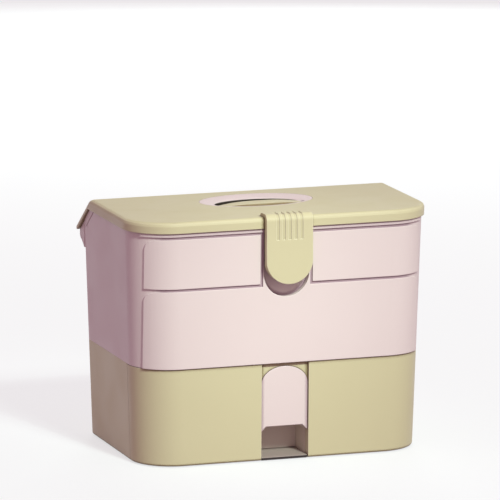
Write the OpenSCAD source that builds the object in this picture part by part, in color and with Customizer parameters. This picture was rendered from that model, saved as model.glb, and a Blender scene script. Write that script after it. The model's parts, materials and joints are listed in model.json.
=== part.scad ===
// Makeup storage case with a lid handle, a lift-out tray and a base drawer.
// X is the width, -Y is the front, +Z is up. The case stands on Z = 0.

/* [Case] */
// Width of the case at the ground
case_w = 254; // [230:2:290]
// Depth of the case at the ground
case_d = 156; // [150:2:180]
// Distance from the origin forward to the front face at the ground
front_reach = 76.7; // [70:0.1:84]
// Radius of the two front vertical corners
corner_r = 37; // [30:1:42]
// Radius of the two rear vertical corners
rear_corner_r = 6; // [4:0.5:10]
// Outward lean of the front and the sides, in degrees
lean_deg = 1.7; // [0.8:0.1:2.2]
// Wall thickness of the mouldings
wall = 2.4; // [2:0.1:3]
// Thickness of the floors
floor_t = 2.4; // [2:0.1:3.2]

/* [Base and drawer] */
// Height of the seam between the base and the body
base_h = 86; // [80:1:96]
// Height of the rubber feet under the base
foot_gap = 0.8; // [0.6:0.1:1.5]
// Size of the rounded bottom edge of the base
base_edge = 2; // [1.2:0.1:3]
// Radius of a rubber foot
foot_r = 8; // [6:0.5:9]
// Thickness of a rubber foot
foot_t = 2; // [1.8:0.1:2.2]
// Gap between the drawer front and what is around it
drawer_gap = 0.4; // [0.3:0.05:0.8]
// Wall thickness of the drawer's inner box
box_wall = 2; // [1.6:0.1:2.4]
// Distance of the drawer's inner box in from the case's side
drawer_side = 12.5; // [12.5:0.5:20]
// Height of the drawer's inner box
box_h = 74; // [60:1:76]
// Height of the drawer's inner dividers
drawer_divider_h = 52; // [40:1:58]
// Distance of the drawer's dividers from the middle
drawer_divider_x = 40; // [34:1:60]
// Travel of the drawer
drawer_travel = 88; // [70:1:90]
// Height of the middle of the runners above the ground
runner_z = 47; // [42:1:52]
// Thickness of the runner's ledge
runner_t = 3; // [2.4:0.1:4]

/* [Pull] */
// Width of the recess in the drawer front
recess_w = 42.4; // [38:0.2:46]
// Depth of the pull's pocket behind the front face
recess_depth = 8.6; // [7:0.1:10]
// Depth of the flat round the pull's arch behind the front face
arch_setback = 2.8; // [2.5:0.1:4]
// Distance of the pull's face behind the front face
pull_setback = 2; // [1.4:0.1:2.4]
// Height of the straight sides of the pull above the ground
pull_spring_z = 67; // [60:1:70]
// Rise of the pull's arched top
pull_rise = 15.5; // [12:0.5:17]
// Height of the finger notch
notch_h = 29.8; // [26:0.2:34]
// Depth of the finger notch
notch_depth = 34; // [28:1:38]
// Size of the bevelled top corners of the notch
notch_bevel = 5; // [3:0.5:7]

/* [Body] */
// Height of the body from the seam to its top edge
body_h = 118; // [110:1:130]
// How far the front pads stand out
pad_proud = 1.4; // [0.9:0.1:1.6]
// Width of the grooves between the front pads
groove_w = 2.2; // [1.6:0.1:3]
// Height of the groove between the pads above the seam
mid_groove_h = 68.7; // [64:0.1:74]
// Height of the lip along the top edge
lip_h = 3; // [2.4:0.1:4]
// Distance of the pads' ends from the sides
pad_end = 8; // [4:0.5:12]
// Radius of the pads' upper outer corners
pad_r = 9; // [6:0.5:12]
// Half width of the recess behind the clip
clip_recess_r = 20.3; // [19.6:0.1:21]
// Depth of the recess behind the clip
clip_recess_depth = 6; // [5:0.1:7]
// Height of the bottom of the clip's recess above the seam
clip_recess_h = 58; // [54:0.5:62]

/* [Lid] */
// Gap between the body's top edge and the lid's rim
lid_gap = 0.3; // [0.3:0.05:0.6]
// Height of the lid's rim
rim_h = 9.7; // [8.5:0.1:11]
// Thickness of the lid's top
lid_t = 2.6; // [2.2:0.1:3]
// Overhang of the rim at the sides
lid_over = 1.9; // [1.4:0.1:2.6]
// Extra overhang of the rim at the front
lid_fwd = 1.1; // [0.8:0.1:1.6]
// Distance from the origin back to the crest of the lid
crest_y = 47.8; // [44:0.2:52]
// Slope of the rear flap below horizontal, in degrees
flap_deg = 34.85; // [33:0.05:37]
// Largest opening angle of the lid, in degrees
lid_open = 105; // [95:1:110]
// Length of the rear flap down the slope
flap_len = 54.2; // [52:0.2:58]
// Thickness of the rear flap
flap_t = 2.5; // [2.2:0.1:2.8]

/* [Hinge] */
// Radius of the hinge pins
pin_r = 2; // [1.6:0.1:2.2]
// Radius of the hinge lugs around the pins
lug_r = 5.1; // [4.8:0.1:5.2]
// Distance of the hinge pins below the flap's outer face
pin_depth = 8; // [8:0.1:8.6]
// Distance of the hinge pins from the flap's end along the slope
pin_back = 3; // [2.5:0.1:4]
// Width of an ear on the body
ear_w = 7.7; // [6:0.1:9]
// Width of a lug on the lid
lid_lug_w = 24; // [16:1:30]
// Running clearance round a pin
run_gap = 0.05; // [0.03:0.01:0.1]
// Side gap between a lug and an ear
side_gap = 0.3; // [0.2:0.05:0.5]

/* [Handle] */
// Half length of the oval handle dish
dish_a = 50.5; // [48:0.5:54]
// Half depth of the oval handle dish
dish_b = 32; // [31:0.5:35]
// Distance of the dish's middle from the origin
dish_y = 0.8; // [-4:0.2:4]
// Half length of the finger well
well_a = 37; // [35:0.5:39]
// Half depth of the finger well
well_b = 21; // [19:0.5:22]
// Depth of the finger well below the lid's top
well_depth = 29; // [26:0.5:30]
// Width of the grip bar
grip_w = 15; // [12:0.5:17]
// Rise of the grip above the lid's top
grip_rise = 1; // [0:0.1:2]
// Thickness of the grip in its middle
grip_t = 9; // [7:0.5:11]
// Distance of the grip's middle in front of the dish's middle
grip_fwd = 15.6; // [13:0.2:17]

/* [Clip] */
// Width of the clip
clip_w = 41.4; // [38:0.2:46]
// Distance that the clip stands in front of the case's foot line
clip_stand = 15.6; // [14.8:0.1:16.8]
// Thickness of the clip
clip_t = 3; // [2.4:0.1:3.2]
// Length of the clip below the lid's top
clip_drop = 57.6; // [52:0.2:62]
// Height of the clip's tongue above the lid's top
clip_rise = 3; // [2.8:0.1:3.2]
// Thickness of the clip's tongue on the lid
tongue_t = 2.6; // [2.2:0.1:2.7]
// Distance of the clip's pin behind the clip's outer face
clip_pin_back = 13.6; // [13.4:0.1:16]
// Distance of the clip's pin below the lid's top
clip_pin_drop = 2.3; // [2.1:0.1:2.4]
// Radius of the clip's pin
clip_pin_r = 1.25; // [1:0.05:1.3]
// Number of grip grooves on the clip
clip_grooves = 5; // [3:1:6]
// Distance between the grip grooves
clip_groove_step = 5.25; // [4.5:0.05:5.6]

/* [Tray and dividers] */
// Distance of the lift-out tray's bowl in from the case's side
tray_side = 5; // [4.5:0.5:12]
// Depth of the lift-out tray
tray_d = 141; // [120:1:142]
// Height of the lift-out tray
tray_h = 42; // [34:1:46]
// Radius of the tray's corners
tray_corner_r = 16; // [14:1:20]
// Height of the tray's top above the seam
tray_top_h = 94; // [90:1:94]
// Wall thickness of the tray
tray_wall = 1.6; // [1.4:0.1:2]
// Width of the tray's rim
tray_rim = 5.5; // [4.5:0.1:6]
// Thickness of the removable dividers
divider_t = 1.5; // [1.2:0.1:2]
// Distance of the tray's cross dividers from the middle
tray_divider_x = 41; // [30:1:60]
// Height of the divider in the lower compartment
case_divider_h = 40; // [30:1:44]

/* [Hidden] */

pink = [0.90, 0.83, 0.82];
green = [0.80, 0.76, 0.60];
steel = [0.72, 0.73, 0.75];
rubber = [0.25, 0.25, 0.26];

eps = 0.02;          // thickness of a hull slice
far = 400;           // longer than any cut needs
lean = tan(lean_deg);
rear_y = case_d - front_reach;
clip_reach = front_reach + clip_stand;
box_half_w = case_w / 2 - drawer_side;
tray_w = case_w - 2 * tray_side;
body_top = base_h + body_h;
rim_bottom = body_top + lid_gap;
lid_top = rim_bottom + rim_h;
corner_steps = 16;
rear_steps = 6;

function half_w(z) = case_w / 2 + lean * z;
function front_y(z) = -(front_reach + lean * z);
function arc_pts(cx, cy, r, a0, a1, n) =
    [for (i = [0:n]) let (a = a0 + (a1 - a0) * i / n) [cx + r * cos(a), cy + r * sin(a)]];

// Plan of the case at height z, moved out by "out" and further forward by "fwd".
function outline(z, out = 0, fwd = 0) =
    let (w = half_w(z) + out, yf = front_y(z) - out - fwd, yr = rear_y + out,
         rf = corner_r + out, rr = max(rear_corner_r + out, 1))
    concat(arc_pts(w - rf, yf + rf, rf, -90, 0, corner_steps),
           arc_pts(w - rr, yr - rr, rr, 0, 90, rear_steps),
           arc_pts(rr - w, yr - rr, rr, 90, 180, rear_steps),
           arc_pts(rf - w, yf + rf, rf, 180, 270, corner_steps));

function ellipse_pts(a, b, cy = 0, steps = 72) =
    [for (i = [0:steps - 1]) [a * cos(i * 360 / steps), cy + b * sin(i * 360 / steps)]];
function round_rect(x0, x1, y0, y1, r, n = 6) =
    concat(arc_pts(x1 - r, y0 + r, r, -90, 0, n), arc_pts(x1 - r, y1 - r, r, 0, 90, n),
           arc_pts(x0 + r, y1 - r, r, 90, 180, n), arc_pts(x0 + r, y0 + r, r, 180, 270, n));

module slice(z, out = 0, fwd = 0) {
    translate([0, 0, z]) linear_extrude(eps) polygon(outline(z, out, fwd));
}
module between(z0, z1, out = 0, fwd = 0) {
    hull() {
        slice(z0, out, fwd);
        slice(z1 - eps, out, fwd);
    }
}
module box(x0, x1, y0, y1, z0, z1) {
    translate([x0, y0, z0]) cube([x1 - x0, y1 - y0, z1 - z0]);
}
module along_x(x0, x1) {           // children are drawn in the YZ plane
    translate([x0, 0, 0]) rotate([90, 0, 90]) linear_extrude(x1 - x0) children();
}
module along_y(y0, y1) {           // children are drawn in the XZ plane
    translate([0, y1, 0]) rotate([90, 0, 0]) linear_extrude(y1 - y0) children();
}
module both_sides() {
    children();
    mirror([1, 0, 0]) children();
}
module rod_x(x0, x1, y, z, r) {
    translate([x0, y, z]) rotate([0, 90, 0]) cylinder(h = x1 - x0, r = r, $fn = 48);
}
module rod_y(x, y0, y1, z, r) {
    translate([x, y1, z]) rotate([90, 0, 0]) cylinder(h = y1 - y0, r = r, $fn = 32);
}
// Leaning frame of the front: y = 0 lies on the front face and +y goes inward.
module on_front() {
    translate([0, front_y(0), 0]) rotate([lean_deg, 0, 0]) children();
}

// ---- rear slope and hinge line ----
slope_dir = [cos(flap_deg), -sin(flap_deg)];
slope_out = [sin(flap_deg), cos(flap_deg)];
crest = [crest_y, lid_top];
flap_end = crest + flap_len * slope_dir;
hinge = flap_end - pin_back * slope_dir - pin_depth * slope_out;
flap_gap = 0.4;      // between the flap and the body under it
function on_slope(s, depth) = crest + s * slope_dir - depth * slope_out;

// Everything above a plane that lies "depth" below the flap's outer face.
module above_slope(depth) {
    along_x(-far, far)
        polygon([on_slope(-far, depth), on_slope(far, depth),
                 on_slope(far, depth) + [far, far], on_slope(-far, depth) + [far, far]]);
}

// ---- front pads of the body ----
mid_z = base_h + mid_groove_h;
lip_z = body_top - lip_h;
clip_x = clip_recess_r + 0.9;      // half width of the collar round the clip's recess
pad_x = half_w(mid_z) - pad_end;
recess_z = base_h + clip_recess_h + clip_recess_r;
recess_back = front_y(recess_z) + clip_recess_depth;

module pad_shape(x0, x1, z0, z1, r) {
    // a panel whose upper corner at x1 is rounded
    difference() {
        translate([x0, z0]) square([x1 - x0, z1 - z0]);
        translate([x1 - r, z1 - r]) square([r + 1, r + 1]);
    }
    intersection() {
        translate([x1 - r, z1 - r]) circle(r, $fn = 64);
        translate([x1 - r - 1, z1 - r - 1]) square([r + 2, r + 2]);
    }
}
module half_pads() {
    pad_shape(clip_x + groove_w, pad_x, mid_z + groove_w / 2, lip_z - groove_w, pad_r);
    pad_shape(-1, pad_x, base_h, mid_z - groove_w / 2, pad_r);
    translate([-1, mid_z - groove_w]) square([clip_x + 1, lip_z - mid_z + groove_w]);
    translate([-1, lip_z]) square([pad_x + 4, lip_h + 1]);
}
module recess_shape(grow) {
    translate([0, recess_z]) circle(clip_recess_r + grow, $fn = 72);
    translate([-clip_recess_r - grow, recess_z])
        square([2 * (clip_recess_r + grow), body_top + 2 - recess_z]);
}

// ---- body ----
tray_top = base_h + tray_top_h;
tray_rim_t = 2;
ledge_z = tray_top - tray_rim_t - 0.3;
ledge_in = 5.5;                       // how far a ledge reaches in from the wall
ledge_y = 30;                         // distance of a ledge's middle from the origin
ear_out = half_w(hinge[1]);
ear_in = ear_out - ear_w;
screw_x = case_w / 2 - wall - 2.4;
screw_front_y = front_y(0) + corner_r + 4.6;
screw_rear_y = rear_y - wall - 4.2;
screw_r = 1.5;
screw_hole_r = 1.6;
screw_len = 14;                       // length of a base screw below its head
catch_y = clip_t + 5.3 - clip_reach;   // front of the catch under the clip
catch_drop = 23;
catch_z = body_top - catch_drop;
catch_w = 18;

module ear_shape() {
    polygon([[rear_y - wall, on_slope_z(rear_y - wall)],
             hinge + lug_r * slope_out, hinge + [0, -lug_r], [rear_y - wall, hinge[1] - 11]]);
    translate(hinge) circle(lug_r, $fn = 64);
}
function on_slope_z(y) = lid_top - (y - crest_y) * tan(flap_deg)
    - (flap_t + flap_gap) / cos(flap_deg);

module screw_places() {
    for (sx = [-1, 1], y = [screw_front_y, screw_rear_y]) translate([sx * screw_x, y, 0]) children();
}

module body_shell() {
    color(pink) difference() {
        union() {
            difference() {
                union() {
                    between(base_h, body_top);
                    intersection() {
                        between(base_h, body_top, pad_proud);
                        along_y(-far, front_y(0) + corner_r) {
                            half_pads();
                            mirror([1, 0]) half_pads();
                        }
                    }
                }
                between(base_h + floor_t, body_top + 1, -wall);
            }
            // walls of the recess behind the clip
            intersection() {
                along_y(-far, recess_back + wall) recess_shape(wall);
                between(base_h, body_top, -0.5);
            }
            // ledges that carry the tray
            both_sides() for (y = [-ledge_y, ledge_y])
                box(half_w(ledge_z) - wall - ledge_in, half_w(ledge_z) - 1,
                    y - 12, y + 12, ledge_z - 4, ledge_z);
            // slots for the divider of the lower compartment
            for (sx = [-1, 1]) {
                slot_rib(sx, front_y(base_h) + wall - 1, front_y(base_h) + wall + 2.4);
                slot_rib(sx, rear_y - wall - 2.4, rear_y - wall + 1);
            }
            both_sides() along_x(ear_in, ear_out) ear_shape();
        }
        along_y(-far, recess_back) recess_shape(0);
        above_slope(flap_t + flap_gap);
        both_sides() rod_x(ear_in - 1, ear_out - 1, hinge[0], hinge[1], pin_r + run_gap);
        screw_places() translate([0, 0, base_h - 1]) cylinder(h = 5, r = screw_hole_r, $fn = 32);
        // short groove that follows the slope on each side
        both_sides() along_x(half_w(mid_z) - 0.1, half_w(body_top) + 1)
            polygon([on_slope(3, 9.2), on_slope(33, 9.2), on_slope(33, 10.4), on_slope(3, 10.4)]);
    }
    // catch behind the clip
    color(pink) box(-catch_w / 2, catch_w / 2, catch_y, recess_back + 1, catch_z, catch_z + 6);
}
module slot_rib(sx, y0, y1) {
    x = sx * (divider_t / 2 + 1.2);
    box(x - 1, x + 1, y0, y1, base_h + 1, base_h + floor_t + case_divider_h - 4);
}
module case_divider() {
    gap = 0.2;
    color(pink) box(-divider_t / 2, divider_t / 2, front_y(base_h) + wall + gap,
                    rear_y - wall - gap, base_h + floor_t, base_h + floor_t + case_divider_h);
}

// ---- hinge pins ----
module hinge_pin() {
    color(steel) rod_x(ear_in - side_gap - lid_lug_w + 2, ear_out - 1.4, hinge[0], hinge[1], pin_r);
}
module hinge_pin_right() {
    hinge_pin();
}
module hinge_pin_left() {
    mirror([1, 0, 0]) hinge_pin();
}

// ---- base ----
seam_y = front_y(0) + corner_r;

module base_form(top, out = 0) {
    hull() {
        for (turn = [0, 30, 60, 90])
            slice(foot_gap + base_edge * (1 - cos(turn)), out - base_edge * (1 - sin(turn)));
        slice(top - eps, out);
    }
}
module base_housing() {
    inner_floor = foot_gap + floor_t;
    color(green) difference() {
        union() {
            difference() {
                base_form(base_h);
                between(inner_floor, base_h + 1, -wall);
            }
            screw_places() translate([0, 0, inner_floor - 1])
                cylinder(h = base_h - inner_floor + 1, r = post_r, $fn = 40);
        }
        box(-far, far, -far, seam_y, -1, base_h + 1);
        screw_places() translate([0, 0, base_h - screw_len - 2])
            cylinder(h = screw_len + 3, r = screw_r, $fn = 32);
        feet_places() translate([0, 0, -1]) cylinder(h = foot_t + 1, r = foot_r, $fn = 64);
    }
    // floor of the finger notch
    color(green) box(0.5 - notch_x, notch_x - 0.5, front_y(0) + 1, seam_y + 5, foot_gap, inner_floor);
}
foot_side = 24;      // from the middle of a foot to the case's side
foot_front = 16;     // and back from the base's front edge
foot_rear = 22;      // and forward from the rear face
module feet_places() {
    for (sx = [-1, 1], y = [seam_y + foot_front, rear_y - foot_rear])
        translate([sx * (case_w / 2 - foot_side), y, 0]) children();
}
module feet() {
    color(rubber) feet_places() cylinder(h = foot_t, r = foot_r, $fn = 64);
}
module base_screws() {
    head_z = base_h + floor_t;
    color(steel) screw_places() {
        translate([0, 0, head_z - screw_len]) cylinder(h = screw_len, r = screw_r, $fn = 32);
        translate([0, 0, head_z]) cylinder(h = 1.8, r = 2.8, $fn = 32);
    }
}
runner_x = half_w(runner_z) - wall - 0.3;
runner_plate = 2;    // thickness of the runner's plate on the case's wall
runner_half = 8;     // half the height of that plate
module runner_right() {
    y0 = screw_front_y + post_r + 1;
    y1 = screw_rear_y - post_r - 1;
    color(pink) {
        box(runner_x - runner_plate, runner_x, y0, y1, runner_z - runner_half, runner_z + runner_half);
        box(box_half_w + 0.7, runner_x, y0, y1, runner_z - runner_t, runner_z);
    }
}
module runner_left() {
    mirror([1, 0, 0]) runner_right();
}

// ---- drawer ----
box_front_y = front_y(0) + wall + 0.4;
box_rear_y = rear_y - wall - 8;
box_z = foot_gap + floor_t + 0.4;
channel_x = recess_w / 2 + wall;
channel_gap = 0.4;
post_r = 3.4;
stop_y = screw_front_y + post_r + drawer_travel;
drawer_top = base_h - drawer_gap;

// Side view of what lies between two depths behind the leaning front face.
module front_band(d0, d1) {
    polygon([[front_y(-1) + d0, -1], [front_y(-1) + d1, -1],
             [front_y(far) + d1, far], [front_y(far) + d0, far]]);
}
// Front view of the pull above its lower edge.
module arch_outline(half, z0, more) {
    polygon(concat([[-half, z0], [half, z0]],
                   [for (i = [0:24]) [half * cos(i * 7.5),
                                      pull_spring_z + (pull_rise + more) * sin(i * 7.5)]]));
}
module channel_shape() {
    notch_back = front_y(0) + notch_depth + wall;
    recess_wall = recess_depth + wall;
    polygon([[front_y(0) + base_edge + 1, foot_gap],
             [front_y(base_edge) + 0.8, foot_gap + base_edge],
             [front_y(drawer_top) + 0.8, drawer_top],
             [front_y(drawer_top) + recess_wall, drawer_top],
             [front_y(notch_h + wall) + recess_wall, notch_h + wall],
             [notch_back, notch_h + wall], [notch_back, foot_gap]]);
}
module drawer_front() {
    color(green) difference() {
        union() {
            difference() {
                base_form(drawer_top);
                between(-1, drawer_top + 1, -wall);
            }
            // walls of the recess and of the finger notch
            along_x(-channel_x, channel_x) channel_shape();
            for (x = drawer_screw_x, z = drawer_screw_z)
                rod_y(x, front_y(z) + wall / 2, box_front_y - 0.1, z, 4);
        }
        // flat recess, and in it the arched pocket of the pull
        along_x(-recess_w / 2, recess_w / 2) front_band(-far, arch_setback);
        intersection() {
            along_x(-recess_w / 2, recess_w / 2) front_band(-far, recess_depth);
            along_y(-far, far) arch_outline(recess_w / 2, -1, 0.25);
        }
        along_y(-far, front_y(0) + notch_depth)
            polygon([[-notch_x, -2], [notch_x, -2], [notch_x, notch_h - notch_bevel],
                     [notch_x - notch_bevel, notch_h], [notch_bevel - notch_x, notch_h],
                     [-notch_x, notch_h - notch_bevel]]);
        box(-notch_x, notch_x, -far, seam_y, -1, box_z);
        box(-far, far, seam_y - drawer_gap, far, -1, far);
        drawer_screw_places() rod_y(0, box_front_y - 2.2, box_front_y, 0, screw_r);
        on_front() for (z = peg_z) rod_y(0, 1, recess_depth + wall + 1, z, peg_r + run_gap);
    }
}
module drawer_screw_places() {
    for (x = drawer_screw_x, z = drawer_screw_z) translate([x, 0, z]) children();
}
peg_r = 2.5;
notch_x = recess_w / 2 - 0.15;
drawer_screw_x = [-70, 70];
drawer_screw_z = [22, 62];
peg_z = [44, 62];
module drawer_box_plan(inset) {
    w = box_half_w - inset;
    yf = box_front_y + inset;
    yr = box_rear_y - inset;
    side_in = half_w(0) - wall - 0.4 - inset;
    rf = corner_r - wall - 0.4 - inset;
    start = acos((w - side_in + rf) / rf);
    polygon(concat(arc_pts(side_in - rf, yf + rf, rf, -90, -start, 12),
                   [[w, yr], [-w, yr]],
                   arc_pts(rf - side_in, yf + rf, rf, 180 + start, 270, 12)));
}
module drawer_box() {
    top = box_z + box_h;
    cx = channel_x + channel_gap;
    channel_back = front_y(0) + recess_depth + wall + channel_gap;
    notch_back = front_y(0) + notch_depth + wall + channel_gap;
    notch_top = notch_h + wall + channel_gap;
    color(pink) difference() {
        union() {
            difference() {
                translate([0, 0, box_z]) linear_extrude(box_h) drawer_box_plan(0);
                translate([0, 0, box_z + box_wall]) linear_extrude(box_h) drawer_box_plan(box_wall);
            }
            box(-cx - box_wall, cx + box_wall, box_front_y + 0.5, channel_back + box_wall, box_z, top);
            box(-cx - box_wall, cx + box_wall, box_front_y + 0.5, notch_back + box_wall,
                box_z, notch_top + box_wall);
            // flanges that ride on the runners, and their stops
            both_sides() {
                box(box_half_w - 1, box_half_w + 3.2, seam_y + 8, box_rear_y,
                    runner_z + 0.3, runner_z + 3);
                box(box_half_w - 1, box_half_w + 6, stop_y, stop_y + 6,
                    runner_z + 2.9, runner_z + 7);
            }
            both_sides() for (sx = [-1, 1]) {
                x = drawer_divider_x + sx * (divider_t / 2 + 1.2);
                box(x - 1, x + 1, box_rear_y - box_wall - 2.4, box_rear_y - 1, box_z + 1,
                    box_z + drawer_divider_h - 6);
                box(x - 1, x + 1, box_front_y + 1, box_front_y + box_wall + 2.4, box_z + 1,
                    box_z + drawer_divider_h - 6);
            }
        }
        box(-cx, cx, -far, channel_back, -1, far);
        box(-cx, cx, -far, notch_back, -1, notch_top);
        drawer_screw_places()
            rod_y(0, box_front_y - 1, box_front_y + box_wall + 1, 0, screw_hole_r);
    }
}
module drawer_screws() {
    color(steel) drawer_screw_places() {
        rod_y(0, box_front_y - 2, box_front_y + box_wall, 0, screw_r);
        rod_y(0, box_front_y + box_wall, box_front_y + box_wall + 1.6, 0, 2.8);
    }
}
module drawer_pull() {
    w = recess_w / 2 - 0.25;
    corner = notch_h - notch_bevel + 0.4;
    color(pink) {
        intersection() {
            along_x(-w, w) front_band(pull_setback, recess_depth - 0.1);
            along_y(-far, far) difference() {
                arch_outline(w, corner, 0);
                polygon([[-w - 1, corner - 1], [-w, corner], [notch_bevel - w - 0.5, notch_h + 0.2],
                         [w - notch_bevel + 0.5, notch_h + 0.2], [w, corner], [w + 1, corner - 1]]);
            }
        }
        on_front() for (z = peg_z) rod_y(0, recess_depth - 1, recess_depth + wall, z, peg_r);
    }
}
module drawer_divider_right() {
    gap = 0.2;
    color(pink) translate([drawer_divider_x, 0, 0])
        box(-divider_t / 2, divider_t / 2, box_front_y + box_wall + gap, box_rear_y - box_wall - gap,
            box_z + box_wall, box_z + box_wall + drawer_divider_h);
}
module drawer_divider_left() {
    mirror([1, 0, 0]) drawer_divider_right();
}

// ---- tray ----
tray_front = recess_back + wall + 1.9;
tray_mid_y = tray_front + tray_d / 2 + 6;
module tray_slot(sx, y0, y1) {
    x = sx * (divider_t / 2 + 1.2);
    box(x - 0.8, x + 0.8, y0, y1, tray_top - tray_h + 1, tray_top - 12);
}
module tray() {
    w = tray_w / 2;
    rear = tray_front + tray_d;
    low = tray_top - tray_h;
    color(pink) difference() {
        union() {
            difference() {
                union() {
                    translate([0, 0, low]) linear_extrude(tray_h)
                        polygon(round_rect(-w, w, tray_front, rear, tray_corner_r));
                    translate([0, 0, tray_top - tray_rim_t]) linear_extrude(tray_rim_t)
                        polygon(round_rect(-w - tray_rim, w + tray_rim, tray_front + tray_corner_r,
                                           rear, tray_corner_r));
                }
                translate([0, 0, low + tray_wall]) linear_extrude(tray_h)
                    polygon(round_rect(tray_wall - w, w - tray_wall, tray_front + tray_wall,
                                       rear - tray_wall, tray_corner_r - tray_wall));
            }
            box(-w + 1, w - 1, tray_mid_y, tray_mid_y + tray_wall, low + 1, tray_top - 4);
            both_sides() translate([tray_divider_x, 0, 0]) for (sx = [-1, 1]) {
                tray_slot(sx, tray_front + 1, tray_front + tray_wall + 2);
                tray_slot(sx, tray_mid_y - 2, tray_mid_y + 0.5);
            }
        }
        // finger scoops in the rim
        both_sides() translate([w + tray_rim + 3, tray_front + tray_d / 2, tray_top - 5])
            cylinder(h = 9, r = 8, $fn = 48);
    }
}
module tray_divider_right() {
    color(pink) translate([tray_divider_x, 0, tray_top - tray_h + tray_wall])
        box(-divider_t / 2, divider_t / 2, tray_front + tray_wall + 0.2, tray_mid_y - 0.2,
            0, tray_h - 10);
}
module tray_divider_left() {
    mirror([1, 0, 0]) tray_divider_right();
}

// ---- lid ----
plate_low = lid_top - lid_t;
tongue_top = lid_top + clip_rise;
tongue_low = tongue_top - tongue_t;
clip_pin_y = clip_pin_back - clip_reach;
clip_pin_z = lid_top - clip_pin_drop;
barrel_r = tongue_top - clip_pin_z;
trough_r = barrel_r + 0.4;
trough_x = clip_w / 2 + 0.4;
boss_x = clip_w / 2 + 4;

module lid_form() {
    difference() {
        hull() {
            slice(rim_bottom, lid_over, lid_fwd);
            slice(lid_top - 3.5, lid_over, lid_fwd);
            slice(lid_top - 1.4, lid_over - 0.8, lid_fwd);
            slice(lid_top - 0.4, lid_over - 2.2, lid_fwd);
            slice(lid_top - eps, lid_over - 3.6, lid_fwd);
        }
        above_slope(0);
    }
}
module lid_lug_shape() {
    s = flap_len - pin_back;
    translate(hinge) {
        circle(lug_r, $fn = 64);
        // stop that meets the rear wall when the lid is open
        rotate(lid_open) polygon([[0, 0], [rear_y - hinge[0] + 0.1, -1.2],
                                  [rear_y - hinge[0] + 0.1, -4.2], [-2, -4.6]]);
    }
    polygon([on_slope(s - lug_r, 1), on_slope(s + pin_back, 1),
             on_slope(s + pin_back, flap_t), on_slope(s + lug_r * 0.7, pin_depth - lug_r * 0.7),
             on_slope(s, pin_depth), on_slope(s - lug_r, pin_depth)]);
}
module lid_shell() {
    lug_in = ear_in - side_gap - lid_lug_w;
    lug_out = ear_in - side_gap;
    flap_w = half_w(body_top) + lid_over;
    color(green) difference() {
        union() {
            difference() {
                lid_form();
                difference() {
                    between(rim_bottom - 1, plate_low, lid_over - wall, lid_fwd);
                    above_slope(flap_t);
                }
            }
            along_x(-flap_w, flap_w)
                polygon([on_slope(4, 0), on_slope(flap_len - 1, 0), on_slope(flap_len, 1),
                         on_slope(flap_len, flap_t), on_slope(4, flap_t)]);
            both_sides() along_x(lug_in, lug_out) lid_lug_shape();
            // boss round the clip's trough
            intersection() {
                lid_form();
                rod_x(-boss_x, boss_x, clip_pin_y, clip_pin_z, clip_pin_z - rim_bottom);
            }
        }
        rod_x(-trough_x, trough_x, clip_pin_y, clip_pin_z, trough_r);
        rod_x(-boss_x - 1, boss_x + 1, clip_pin_y, clip_pin_z, clip_pin_r + run_gap);
        both_sides() rod_x(lug_in - 1, lug_out + 1, hinge[0], hinge[1], pin_r + run_gap);
        // seat and opening for the handle dish
        translate([0, 0, lid_top - dish_flange]) linear_extrude(9)
            polygon(ellipse_pts(dish_a + 0.2, dish_b + 0.2, dish_y));
        translate([0, 0, base_h]) linear_extrude(far)
            polygon(ellipse_pts(ring_a + 0.4, ring_b + 0.4, dish_y));
    }
}

// ---- handle ----
dish_flange = 1.3;
ring_a = dish_a - 3.2;               // outer size of the dish below its flange
ring_b = dish_b - 3.2;
ring_low = plate_low - 3;
well_rim = lid_top - 2.5;
well_floor = lid_top - well_depth;
foot_x = 36.5;                       // middle of the grip's feet
foot_half = 3.6;
grip_y = dish_y - grip_fwd;
foot_y = grip_y + 2.4;
foot_seat = well_rim - 2;

grip_span = foot_x + foot_half;
module grip_plan(grow) {
    a = grip_span + grow;
    half = grip_w / 2 + grow;
    intersection() {
        polygon(concat([for (i = [0:20]) let (t = -1 + i / 10) [a * t, grip_y - half + 3.5 * t * t]],
                       [for (i = [0:20]) let (t = 1 - i / 10) [a * t, grip_y + half - t * t]]));
        polygon(ellipse_pts(ring_a - 1.6 + grow, ring_b - 1.6 + grow, dish_y));
    }
}
module handle_grip() {
    top = lid_top + grip_rise;
    color(green) difference() {
        intersection() {
            linear_extrude(far) grip_plan(0);
            // arched top and straight underside
            along_y(-far, far)
                polygon(concat([for (i = [0:20]) let (t = 1 - i / 10)
                                    [grip_span * t, top - 3.2 * pow(abs(t), 2.6)]],
                               [[-grip_span, top - grip_t], [grip_span, top - grip_t]]));
        }
        // outside the finger well the bar lies in the dish
        difference() {
            box(-far, far, -far, far, 0, foot_seat);
            linear_extrude(far) polygon(ellipse_pts(well_a - 0.4, well_b - 0.4, dish_y));
        }
        grip_screw_places() translate([0, 0, foot_seat - 1])
            cylinder(h = 2.8, r = small_screw_r, $fn = 32);
    }
}
module grip_screw_places() {
    for (sx = [-1, 1]) translate([sx * foot_x, foot_y, 0]) children();
}
module drill(r) {
    cylinder(h = 2 * far, r = r, center = true, $fn = 32);
}
module ring_screw_places() {
    mid_a = (well_a + 2 + ring_a) / 2;
    mid_b = (well_b + 2 + ring_b) / 2;
    for (sx = [-1, 1], turn = [14, 68])
        translate([sx * mid_a * cos(turn), dish_y + mid_b * sin(turn), 0]) children();
}
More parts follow.
